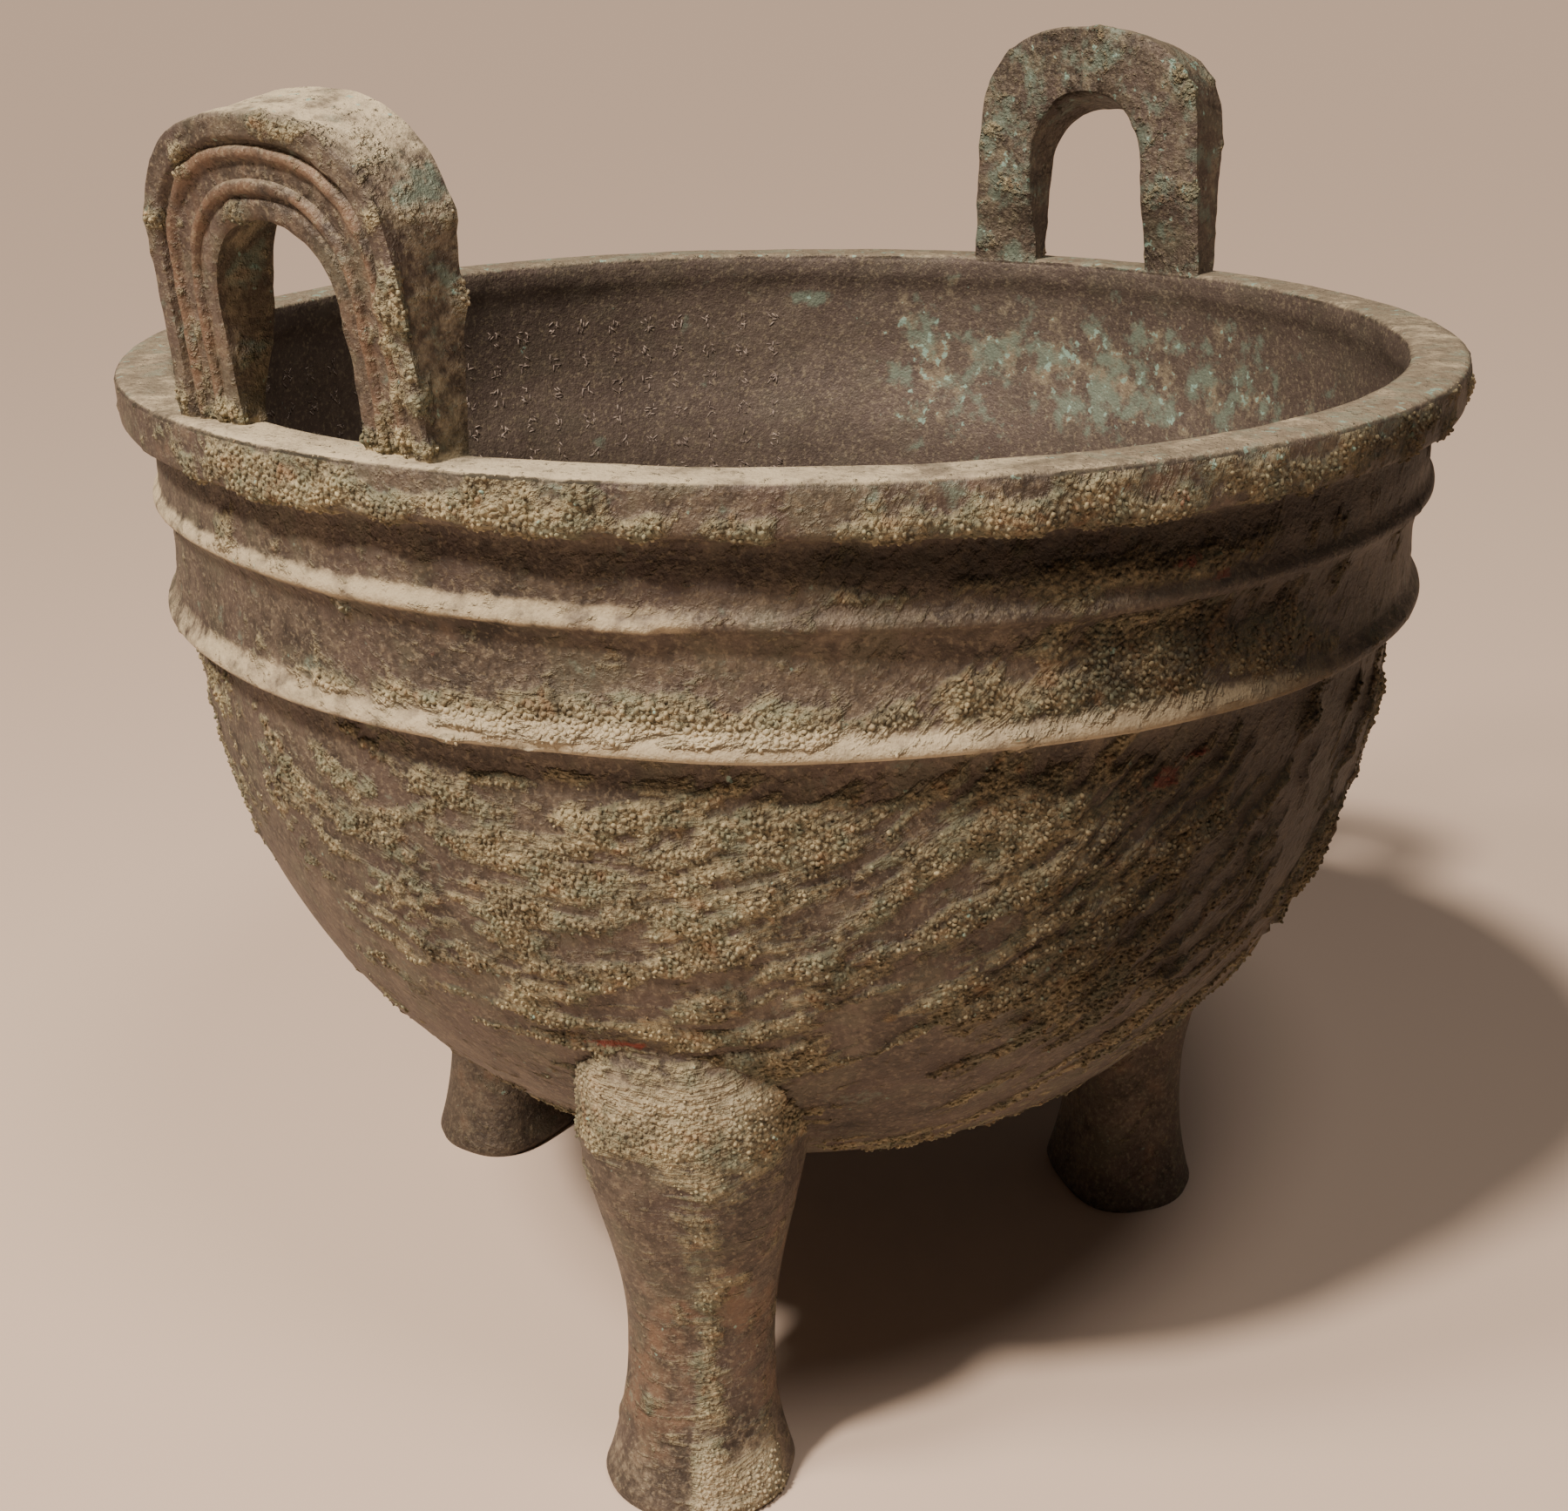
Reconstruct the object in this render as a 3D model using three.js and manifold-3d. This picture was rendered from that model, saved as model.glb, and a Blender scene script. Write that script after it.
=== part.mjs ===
// A cast bronze ding: a deep round bowl on three hoofed legs, with two upright handles on its flat rim.
// Millimetres, +Z up, the origin on the floor under the middle of the bowl.
import * as THREE from "three";
import { ParametricGeometry } from "three/addons/geometries/ParametricGeometry.js";
import { mergeVertices } from "three/addons/utils/BufferGeometryUtils.js";
import Module from "manifold-3d";

const { lerp, smoothstep, degToRad } = THREE.MathUtils;

// Driving dimensions.
const rim = {
  radius: 165, height: 264, edgeHeight: 11.3, taper: 0.4, corner: 0.8, fillet: 1.6,
  mouthRadius: 150.8, lipHeight: 7.5, lipSlope: 2.5,
};
const neck = { radius: 156.8, valleyRadius: 155.3, valleyFlare: 0.5, innerRadius: 152.5 };
const upperString = { height: 235, radius: 159.3, rootRadius: 157.2, halfHeight: 2.2 };
const lowerString = { height: 209.5, radius: 158, rootRadius: 155.1, halfHeight: 2.6 };
const stringSlope = { swell: 1, height: 10 }; // the soft swelling above the upper string
const valleyMargin = 5; // from each string's crest to where the valley between them starts
const cavityShoulder = 20; // from the lower string's crest up to where the cavity narrows to the belly
const belly = { radius: 151.7, top: 206, bottom: 50, shoulder: 2.26, fullness: 1.84, wall: 3.9 };
const bowlSides = 64;

// Each handle and leg was set by hand: azimuths in degrees from -Y, towards +X.
const handles = [
  { azimuth: -90, tallness: 0.98 },
  { azimuth: 91.5, tallness: 1.02 },
];
const legs = [
  { knee: { azimuth: -63.5, radius: 106.4 }, foot: { azimuth: -64.7, radius: 110.5 } },
  { knee: { azimuth: 58, radius: 106.8 }, foot: { azimuth: 55.3, radius: 103 } },
  { knee: { azimuth: 186.6, radius: 106.8 }, foot: { azimuth: 184.4, radius: 114 } },
];

const handle = {
  outerDistance: 157.3, // from the bowl's axis to the outer face, at the rim
  outerLean: 0.123,
  baseThickness: 12,
  innerLean: -0.016,
  baseWidth: 78,
  shoulderWidth: 73.5,
  outerHeight: 64.2,
  innerHeight: 67.6,
  springShare: 0.55,
  archPower: 2.4,
  openingWidth: 37.8,
  openingOuterHeight: 43.8,
  openingInnerHeight: 49.2,
  openingPower: 2.2,
  rootDepth: 8,
  rootCover: 0.3, // metal left between the buried root and the mouth
  archSteps: 11,
};

// The contour lines of a handle's outer face: share of the way in from the edge, and depth below the face.
const contourLines = [
  [0, 0.7], [0.05, 0], [0.24, 0], [0.28, 1.3], [0.33, 0.3], [0.41, 0.3], [0.46, 1.3],
  [0.6, 1.3], [0.65, 0.3], [0.73, 0.3], [0.78, 1.3], [0.82, 0.7], [1, 0.7],
];

const leg = {
  waist: { halfWidth: 17.5, outward: 16.2, inward: 15.8 },
  foot: { halfWidth: 6.5, outward: 5.2, inward: 4.4, height: 36 },
  knee: { halfWidth: 8.8, outward: 15, inward: 3, start: 40, full: 108, height: 116 },
  cap: { height: 22, roundness: 3 },
  squareness: 2.8, // of the knee's outer half, where 2 is round
  soleBevel: 1.4,
  soleBevelHeight: 2.2,
  innerSquareness: 3,
  sides: 18,
  levels: [0, 2.2, 8, 15, 23, 32, 42, 54, 67, 80, 93, 105, 116, 123, 129, 133, 136, 137.8],
};

const wasm = await Module();
wasm.setup();

// Turns a closed three.js geometry into a manifold-3d solid with its faces pointing out.
function toSolid(geometry) {
  geometry.deleteAttribute("normal");
  geometry.deleteAttribute("uv");
  const merged = mergeVertices(geometry, 1e-3);
  const index = merged.index.array;
  const triVerts = [];
  for (let i = 0; i < index.length; i += 3) {
    const [a, b, c] = [index[i], index[i + 1], index[i + 2]];
    if (a !== b && b !== c && a !== c) triVerts.push(a, b, c);
  }
  const build = (corners) =>
    new wasm.Manifold(
      new wasm.Mesh({
        numProp: 3,
        vertProperties: merged.attributes.position.array,
        triVerts: new Uint32Array(corners),
      }),
    );
  const solid = build(triVerts);
  return solid.volume() > 0 ? solid : build(triVerts.reverse());
}

function toGeometry(solid) {
  const mesh = solid.getMesh();
  const geometry = new THREE.BufferGeometry();
  geometry.setAttribute("position", new THREE.BufferAttribute(mesh.vertProperties, 3));
  geometry.setIndex(new THREE.BufferAttribute(mesh.triVerts, 1));
  geometry.computeVertexNormals();
  return geometry;
}

// A lathe about the Z axis from [radius, height] pairs.
function turned(profile) {
  const points = profile.map(([radius, height]) => new THREE.Vector2(radius, height));
  return toSolid(new THREE.LatheGeometry(points, bowlSides).rotateX(Math.PI / 2));
}

// The belly's curve from the lower string to the axis, set in by `inset`.
function bellyCurve(inset, steps) {
  const curve = [];
  for (let i = 0; i <= steps; i += 1) {
    const angle = (i / steps) * (Math.PI / 2);
    const depth = i === steps ? 1 : Math.sin(angle);
    const radius = (belly.radius - inset) * (1 - depth ** belly.shoulder) ** (1 / belly.fullness);
    curve.push([radius, belly.top - (belly.top - belly.bottom - inset) * depth]);
  }
  return curve;
}

// A raised bowstring ridge: a half round from its upper root to its lower root.
function stringRidge(string) {
  return [-70, -25, 25, 70].map((degrees) => [
    lerp(string.rootRadius, string.radius, Math.cos(degToRad(degrees))),
    string.height - string.halfHeight * Math.sin(degToRad(degrees)),
  ]);
}

function outerProfile() {
  const top = rim.height;
  const underside = top - rim.edgeHeight;
  return [
    [0, top],
    [rim.radius - rim.corner, top],
    [rim.radius, top - rim.corner],
    [rim.radius - rim.taper, underside + rim.corner],
    [rim.radius - rim.taper - rim.corner, underside],
    [neck.radius, underside - rim.fillet],
    [neck.radius + stringSlope.swell, upperString.height + stringSlope.height],
    ...stringRidge(upperString),
    [neck.valleyRadius + neck.valleyFlare, upperString.height - valleyMargin],
    [neck.valleyRadius, (upperString.height + lowerString.height) / 2],
    [neck.valleyRadius + neck.valleyFlare, lowerString.height + valleyMargin],
    ...stringRidge(lowerString),
    ...bellyCurve(0, 15),
  ];
}

function cavityProfile() {
  const lipFoot = rim.height - rim.lipHeight;
  const aboveRim = rim.height + 1;
  return [
    [0, aboveRim],
    [rim.mouthRadius, aboveRim],
    [rim.mouthRadius, lipFoot],
    [neck.innerRadius, lipFoot - rim.lipSlope],
    [neck.innerRadius, lowerString.height + cavityShoulder],
    ...bellyCurve(belly.wall, 13),
  ];
}

// A point of an arch that stands on two posts, in its own plane, with along running 0 to 1 over the top.
function archPoint(baseWidth, shoulderWidth, height, power, along) {
  const postSteps = 2;
  const halfSteps = postSteps + handle.archSteps;
  const spring = height * handle.springShare;
  const side = along < 0.5 ? -1 : 1;
  const step = (1 - Math.abs(2 * along - 1)) * halfSteps;
  if (step < postSteps) {
    const rise = step / postSteps;
    const half = lerp(baseWidth, shoulderWidth, rise) / 2;
    return [side * half, lerp(-handle.rootDepth, spring, rise)];
  }
  const angle = ((step - postSteps) / handle.archSteps) * (Math.PI / 2);
  const across = (shoulderWidth / 2) * Math.max(Math.cos(angle), 0) ** (2 / power);
  return [side * across, spring + (height - spring) * Math.sin(angle) ** (2 / power)];
}

// The handle's section at `along`: the outer face with its contour lines, then the plain inner face.
function handleSection(along) {
  const { baseWidth, shoulderWidth, openingWidth, archPower, openingPower } = handle;
  const edgeOut = archPoint(baseWidth, shoulderWidth, handle.outerHeight, archPower, along);
  const edgeIn = archPoint(baseWidth, shoulderWidth, handle.innerHeight, archPower, along);
  const holeOut = archPoint(openingWidth, openingWidth, handle.openingOuterHeight, openingPower, along);
  const holeIn = archPoint(openingWidth, openingWidth, handle.openingInnerHeight, openingPower, along);
  const outer = contourLines.map(([share, depth]) => {
    const across = lerp(edgeOut[0], holeOut[0], share);
    const up = lerp(edgeOut[1], holeOut[1], share);
    return [across, handle.outerDistance + handle.outerLean * up - depth, up];
  });
  const inner = [[0.95, 0], [0.05, 0], [0, 0.8]].map(([share, depth]) => {
    const across = lerp(edgeIn[0], holeIn[0], share);
    const up = lerp(edgeIn[1], holeIn[1], share);
    const face = handle.outerDistance - handle.baseThickness + handle.innerLean * up;
    const mouth = Math.sqrt((rim.mouthRadius + handle.rootCover) ** 2 - across ** 2);
    return [across, lerp(mouth, face, smoothstep(up, 0, 25)) + depth, up];
  });
  return [...outer, ...inner];
}

// Sweeps closed sections into one solid: section(i) gives the points of step i, and the ends close flat.
function sweptSolid(section, steps, toPlace) {
  const sides = section(0).length;
  const rows = steps + 2;
  const point = (u, v, target) => {
    const row = Math.round(v * rows);
    const points = section(Math.min(Math.max(row - 1, 0), steps) / steps);
    if (row === 0 || row === rows) {
      const middle = [0, 1, 2].map((axis) => points.reduce((sum, p) => sum + p[axis], 0) / sides);
      toPlace(middle, target);
      return;
    }
    toPlace(points[Math.round(u * sides) % sides], target);
  };
  return toSolid(new ParametricGeometry(point, sides, rows));
}

// Puts [across, out, up] at its place about the bowl's axis, with out along the azimuth.
function setAround(azimuth, [across, out, up], target) {
  const turn = degToRad(azimuth);
  const [sine, cosine] = [Math.sin(turn), Math.cos(turn)];
  target.set(out * sine + across * cosine, across * sine - out * cosine, up);
}

function makeHandle({ azimuth, tallness }) {
  const steps = 2 * (2 + handle.archSteps);
  const toPlace = ([across, out, up], target) =>
    setAround(azimuth, [across, out, rim.height + up * tallness], target);
  return sweptSolid(handleSection, steps, toPlace);
}

// How far the leg reaches from its axis, in one direction of its section, at a height.
function legReach(direction, height, swell) {
  const { waist, foot, knee, cap } = leg;
  const flare = Math.max(1 - height / foot.height, 0) ** 2;
  const bevel = leg.soleBevel * Math.max(1 - height / leg.soleBevelHeight, 0);
  const reach = waist[direction] + foot[direction] * flare + knee[direction] * swell - bevel;
  const overKnee = Math.max(height - knee.height, 0) / cap.height;
  return reach * (1 - overKnee ** cap.roundness) ** (1 / cap.roundness);
}

// A leg's section about its own axis: rounded outwards, and flatter on the side that faces the other legs.
function legSection(along) {
  const height = leg.levels[Math.round(along * (leg.levels.length - 1))];
  const swell = smoothstep(height, leg.knee.start, leg.knee.full);
  const section = [];
  for (let i = 0; i < leg.sides; i += 1) {
    const angle = (i / leg.sides) * 2 * Math.PI;
    const [across, out] = [Math.cos(angle), Math.sin(angle)];
    const power = 2 / (out < 0 ? leg.innerSquareness : lerp(2, leg.squareness, swell));
    const reach = legReach(out < 0 ? "inward" : "outward", height, swell);
    section.push([
      Math.sign(across) * Math.abs(across) ** power * legReach("halfWidth", height, swell),
      Math.sign(out) * Math.abs(out) ** power * reach,
      height,
    ]);
  }
  return section;
}

// A leg leans from its foot to its knee, as its two azimuths and radii say.
function makeLeg({ knee, foot }) {
  const toPlace = ([across, out, up], target) => {
    const rise = up / leg.knee.height;
    const azimuth = lerp(foot.azimuth, knee.azimuth, rise);
    setAround(azimuth, [across, lerp(foot.radius, knee.radius, rise) + out, up], target);
  };
  return sweptSolid(legSection, leg.levels.length - 1, toPlace);
}

function makeVessel() {
  let body = turned(outerProfile());
  for (const place of legs) body = body.add(makeLeg(place));
  body = body.subtract(turned(cavityProfile()));
  for (const place of handles) body = body.add(makeHandle(place));
  return body;
}

const bronze = new THREE.MeshStandardMaterial({ color: 0x5c4d3f, roughness: 0.72, metalness: 0.55 });
const vessel = new THREE.Mesh(toGeometry(makeVessel()), bronze);
vessel.name = "ding_vessel";

const group = new THREE.Group();
group.add(vessel);
export default group;
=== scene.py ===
# A cast bronze ding: round bowl, three hoofed legs and two handles, with its crust and inscription.
# Lengths in the dictionaries are millimetres unless a note says otherwise. Blender works in metres.
import math

import bmesh
import bpy
import numpy as np
from mathutils import Matrix, Vector, noise
from mathutils.bvhtree import BVHTree


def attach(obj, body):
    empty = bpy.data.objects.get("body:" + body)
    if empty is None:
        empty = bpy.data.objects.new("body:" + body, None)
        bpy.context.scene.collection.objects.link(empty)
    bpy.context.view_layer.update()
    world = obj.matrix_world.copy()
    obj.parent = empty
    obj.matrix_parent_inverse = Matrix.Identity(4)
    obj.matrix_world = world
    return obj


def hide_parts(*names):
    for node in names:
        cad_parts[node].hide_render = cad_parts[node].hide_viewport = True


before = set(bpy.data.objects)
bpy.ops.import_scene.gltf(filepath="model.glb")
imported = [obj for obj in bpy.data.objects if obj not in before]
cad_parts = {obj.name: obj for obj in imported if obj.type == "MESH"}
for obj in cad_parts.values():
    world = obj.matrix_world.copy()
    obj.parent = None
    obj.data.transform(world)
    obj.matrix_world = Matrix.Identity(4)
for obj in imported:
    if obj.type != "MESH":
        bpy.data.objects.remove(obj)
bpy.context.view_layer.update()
mm = 0.001


# small helpers

def aroundAxis(azimuth, radius, height):
    # azimuth in degrees from -Y towards +X
    turn = np.radians(azimuth)
    return np.stack(np.broadcast_arrays(radius * np.sin(turn), -radius * np.cos(turn), height), axis=-1)


def softStep(value, low, high):
    share = np.clip((value - low) / (high - low), 0, 1)
    return share * share * (3 - 2 * share)


def meshObject(name, points, faces):
    mesh = bpy.data.meshes.new(name)
    mesh.from_pydata((np.asarray(points) * mm).tolist(), [], faces)
    mesh.update()
    thing = bpy.data.objects.new(name, mesh)
    bpy.context.scene.collection.objects.link(thing)
    return thing


def wrappedMesh(name, rings, first=None, last=None):
    # rings of points closed round, each joined to the next; first and last are poles or flat ends
    count, sides = rings.shape[:2]
    points = rings.reshape(-1, 3).tolist()
    faces = []
    for row in range(count - 1):
        for side in range(sides):
            following = (side + 1) % sides
            faces.append((row * sides + side, row * sides + following,
                          (row + 1) * sides + following, (row + 1) * sides + side))
    for pole, row in ((first, 0), (last, count - 1)):
        if pole is None:
            continue
        tip = len(points)
        points.append(list(pole))
        for side in range(sides):
            following = (side + 1) % sides
            pair = (row * sides + side, row * sides + following)
            faces.append((pair[0], pair[1], tip) if row else (pair[1], pair[0], tip))
    if first is None and last is None:
        for side in range(sides):
            following = (side + 1) % sides
            faces.append(((count - 1) * sides + side, (count - 1) * sides + following, following, side))
    thing = meshObject(name, points, faces)
    sheet = bmesh.new()
    sheet.from_mesh(thing.data)
    bmesh.ops.recalc_face_normals(sheet, faces=sheet.faces)
    if sheet.calc_volume(signed=True) < 0:
        bmesh.ops.reverse_faces(sheet, faces=sheet.faces)
    sheet.to_mesh(thing.data)
    sheet.free()
    return thing


def combine(base, other, operation):
    cut = base.modifiers.new("join", "BOOLEAN")
    cut.object = other
    cut.operation = operation
    cut.solver = "MANIFOLD"
    applyModifiers(base)
    bpy.data.objects.remove(other)


def applyModifiers(thing):
    bpy.context.view_layer.update()
    graph = bpy.context.evaluated_depsgraph_get()
    result = bpy.data.meshes.new_from_object(thing.evaluated_get(graph))
    thing.modifiers.clear()
    thing.data = result


def resampled(points, spacing):
    points = np.array(points, float)
    lengths = np.concatenate([[0], np.cumsum(np.linalg.norm(np.diff(points, axis=0), axis=1))])
    count = max(int(round(lengths[-1] / spacing)), 1)
    along = np.linspace(0, lengths[-1], count + 1)[:-1]
    return [(np.interp(s, lengths, points[:, 0]), np.interp(s, lengths, points[:, 1])) for s in along]


# camera, light and floor

view = {
    "place": (-0.4238, -0.3407, 0.3532),  # metres
    "azimuth": -50.88, "pitchDown": 20.55, "roll": -0.67,
    "lens": 49.0,
}


def makeCamera():
    camera = bpy.data.objects.new("camera", bpy.data.cameras.new("camera"))
    camera.data.lens = view["lens"]
    camera.data.sensor_width = 36
    camera.data.sensor_fit = "HORIZONTAL"
    camera.matrix_world = (
        Matrix.Translation(view["place"])
        @ Matrix.Rotation(math.radians(view["azimuth"]), 4, "Z")
        @ Matrix.Rotation(math.radians(90 - view["pitchDown"]), 4, "X")
        @ Matrix.Rotation(math.radians(view["roll"]), 4, "Z"))
    bpy.context.scene.collection.objects.link(camera)
    bpy.context.scene.camera = camera


studio = {
    "floorColour": (0.63, 0.50, 0.415, 1), "floorRadius": 40.0,
    "worldColour": (1.0, 0.88, 0.78, 1), "worldStrength": 0.05,
    # azimuth and elevation in degrees, apparent size in degrees, strength, colour
    "sun": (-92, 54, 6.0, 4.1, (1.0, 0.86, 0.72)),
    # name: azimuth and elevation in degrees, distance and size in metres, power in watts, colour
    "lights": {
        "nearLight": (-98, 52, 0.95, 0.16, 7.0, (1.0, 0.86, 0.70)),
        "frontLight": (-30, 63, 1.5, 0.40, 7.5, (1.0, 0.89, 0.78)),
    },
    "aim": (0, 0, 0.16),
}


def hangLamp(lamp, azimuth, elevation, distance):
    away = aroundAxis(azimuth, math.cos(math.radians(elevation)), math.sin(math.radians(elevation)))
    holder = bpy.data.objects.new(lamp.name, lamp)
    holder.location = Vector(studio["aim"]) + Vector(away) * distance
    holder.rotation_euler = Vector(away).to_track_quat("Z", "Y").to_euler()
    bpy.context.scene.collection.objects.link(holder)


def makeStudio():
    world = bpy.data.worlds.new("softRoom")
    world.use_nodes = True
    background = world.node_tree.nodes["Background"]
    background.inputs["Color"].default_value = studio["worldColour"]
    background.inputs["Strength"].default_value = studio["worldStrength"]
    bpy.context.scene.world = world
    azimuth, elevation, angle, strength, colour = studio["sun"]
    sun = bpy.data.lights.new("sunLight", "SUN")
    sun.angle, sun.energy, sun.color = math.radians(angle), strength, colour
    hangLamp(sun, azimuth, elevation, 3.0)
    for name, (azimuth, elevation, distance, size, power, colour) in studio["lights"].items():
        lamp = bpy.data.lights.new(name, "AREA")
        lamp.shape, lamp.size, lamp.energy, lamp.color = "DISK", size, power, colour
        hangLamp(lamp, azimuth, elevation, distance)
    reach = studio["floorRadius"]
    floor = meshObject("floor", np.array([(-1, -1, 0), (1, -1, 0), (1, 1, 0), (-1, 1, 0)]) * reach / mm, [(0, 1, 2, 3)])
    paint = bpy.data.materials.new("paleFloor")
    paint.use_nodes = True
    shader = paint.node_tree.nodes["Principled BSDF"]
    shader.inputs["Base Color"].default_value = studio["floorColour"]
    shader.inputs["Roughness"].default_value = 0.75
    floor.data.materials.append(paint)


makeCamera()
makeStudio()
print("camera, light and floor")


# the shape of the casting

bowl = {
    "rimRadius": 165, "rimHeight": 264, "rimEdge": 11.3, "rimTaper": 0.4,
    "mouthRadius": 150.8, "lipHeight": 7.5, "lipSlope": 2.5,
    "neckRadius": 156.8, "neckSwell": 158.0, "innerRadius": 152.5,
    "valleyRadius": 155.3, "valleyFlare": 0.5,
    "bellyRadius": 151.7, "bellyTop": 206, "bellyBottom": 50, "shoulder": 2.26, "fullness": 1.84,
    "wall": 3.9, "sides": 352, "rowSpacing": 2.35,
}
# height, crest radius, root radius, half height, and how much the hand-laid line wanders
upperString = {"height": 235, "crest": 159.5, "root": 157.1, "half": 2.3, "sag": 0.6, "wander": 0.5}
lowerString = {"height": 209.0, "crest": 158.5, "root": 155.1, "half": 2.8, "sag": 1.2, "wander": 0.7}
mouldSeam = {"azimuth": -61.2, "drop": 0.7, "rise": 0.6, "ease": 2.5}  # where the upper string's two ends meet


def bellyRadius(height, inset=0.0):
    depth = (bowl["bellyTop"] - height) / (bowl["bellyTop"] - bowl["bellyBottom"] - inset)
    depth = np.clip(depth, 0, 1)
    return (bowl["bellyRadius"] - inset) * (1 - depth ** bowl["shoulder"]) ** (1 / bowl["fullness"])


def bellyCurve(inset, spacing):
    low = bowl["bellyBottom"] + inset
    heights = bowl["bellyTop"] - (bowl["bellyTop"] - low) * np.sin(np.linspace(0, np.pi / 2, 400))
    return resampled(list(zip(bellyRadius(heights, inset), heights)), spacing)


def stringArc(line, count=10):
    # half round, with its crest a little below the middle
    points = []
    for share in np.linspace(1, -1, count):
        swell = math.sqrt(max(1 - share * share, 0))
        points.append((line["root"] + (line["crest"] - line["root"]) * swell,
                       line["height"] + line["half"] * share - line["sag"] * swell))
    return points


def bowlProfile():
    # from the mouth's edge over the rim and down to the pole, then up the inside
    b = bowl
    top, under = b["rimHeight"], b["rimHeight"] - b["rimEdge"]
    valley = (upperString["height"] + lowerString["height"]) / 2
    outside = (
        resampled([(b["mouthRadius"], top), (b["rimRadius"], top)], 1.5)
        + resampled([(b["rimRadius"], top), (b["rimRadius"] - b["rimTaper"], under)], 1.1)
        + resampled([(b["rimRadius"] - b["rimTaper"], under), (b["neckRadius"], under - 1.6)], 1.6)
        + resampled([(b["neckRadius"], under - 1.6), (b["neckRadius"] + 0.6, under - 6),
                     (b["neckSwell"], 242), (b["neckSwell"] - 0.2, 238.4), (upperString["root"], 237.5)], 1.9)
        + stringArc(upperString)
        + resampled([(b["valleyRadius"] + b["valleyFlare"], 230.5), (b["valleyRadius"], valley),
                     (b["valleyRadius"] + b["valleyFlare"], 214), (lowerString["root"], 212.6)], 1.8)
        + stringArc(lowerString)
        + bellyCurve(0, b["rowSpacing"]))
    lipFoot = top - b["lipHeight"]
    inside = (
        resampled([(b["mouthRadius"], top), (b["mouthRadius"], lipFoot)], 1.6)[1:]
        + resampled([(b["mouthRadius"], lipFoot), (b["innerRadius"], lipFoot - b["lipSlope"])], 1.5)
        + resampled([(b["innerRadius"], lipFoot - b["lipSlope"]), (b["innerRadius"], 229),
                     (b["bellyRadius"] - b["wall"], b["bellyTop"])], 4.5)
        + bellyCurve(b["wall"], 4.6))
    return np.array(outside), np.array(inside)


def rounded(profile, times):
    for _ in range(times):
        middle = (profile[:-2] + 2 * profile[1:-1] + profile[2:]) / 4
        profile = np.vstack([profile[:1], middle, profile[-1:]])
    return profile


def stringShift(azimuth, height):
    # the strings wander a little, and the upper one steps at the mould seam
    turn = np.radians(azimuth)
    upper = np.sin(3 * turn + 0.6) * 0.6 + np.sin(7 * turn + 2.0) * 0.4
    lower = np.sin(2 * turn + 2.4) * 0.6 + np.sin(9 * turn) * 0.4
    past = azimuth - mouldSeam["azimuth"]
    step = np.where(past > 0, mouldSeam["rise"], -mouldSeam["drop"]) * np.exp(-np.abs(past) / 16)
    nearUpper = np.exp(-((height - upperString["height"]) / 5) ** 2)
    nearLower = np.exp(-((height - lowerString["height"]) / 5) ** 2)
    return nearUpper * (upper * upperString["wander"] + step) + nearLower * lower * lowerString["wander"]


def makeBowl():
    outside, inside = bowlProfile()
    ring = np.vstack([outside[::-1], inside])  # from the outer pole up, over the mouth, and down to the inner pole
    ring = rounded(ring, 2)
    azimuths = np.linspace(-180, 180, bowl["sides"], endpoint=False)
    radius, height = ring[:, 0][:, None], ring[:, 1][:, None]
    outer = (np.arange(len(ring)) < len(outside))[:, None]
    height = height + np.where(outer, stringShift(azimuths[None, :], height), 0)
    rings = aroundAxis(azimuths[None, :], radius + 0 * azimuths[None, :], height)
    poles = ((0, 0, bowl["bellyBottom"]), (0, 0, bowl["bellyBottom"] + bowl["wall"]))
    return wrappedMesh("vessel", rings, first=poles[0], last=poles[1])


def makeCavity():
    # a lens inside the wall, to trim the legs' roots
    inset = bowl["wall"] / 2
    curve = np.array(bellyCurve(inset, 6))
    rings = aroundAxis(np.linspace(-180, 180, 128, endpoint=False)[None, :], curve[:, 0][:, None], curve[:, 1][:, None])
    return wrappedMesh("cavity", rings, first=(0, 0, bowl["bellyTop"]), last=(0, 0, bowl["bellyBottom"] + inset))


legs = {
    # knee and foot: azimuth, then distance from the bowl's axis
    "legLeft": ((-63.5, 106.4), (-64.7, 110.5)),
    "legRight": ((58, 106.8), (55.3, 103)),
    "legBack": ((186.6, 106.8), (184.4, 114)),
}
leg = {
    # half width, outwards, inwards
    "waist": (17.5, 16.2, 15.8), "foot": (6.5, 5.2, 4.4), "footHeight": 36,
    "knee": (8.8, 15, 3), "kneeStart": 40, "kneeFull": 108, "kneeHeight": 116,
    "capHeight": 22, "capRoundness": 3, "squareness": 2.8, "innerSquareness": 3,
    "soleBevel": 1.4, "soleBevelHeight": 2.2, "sides": 52,
}


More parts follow.
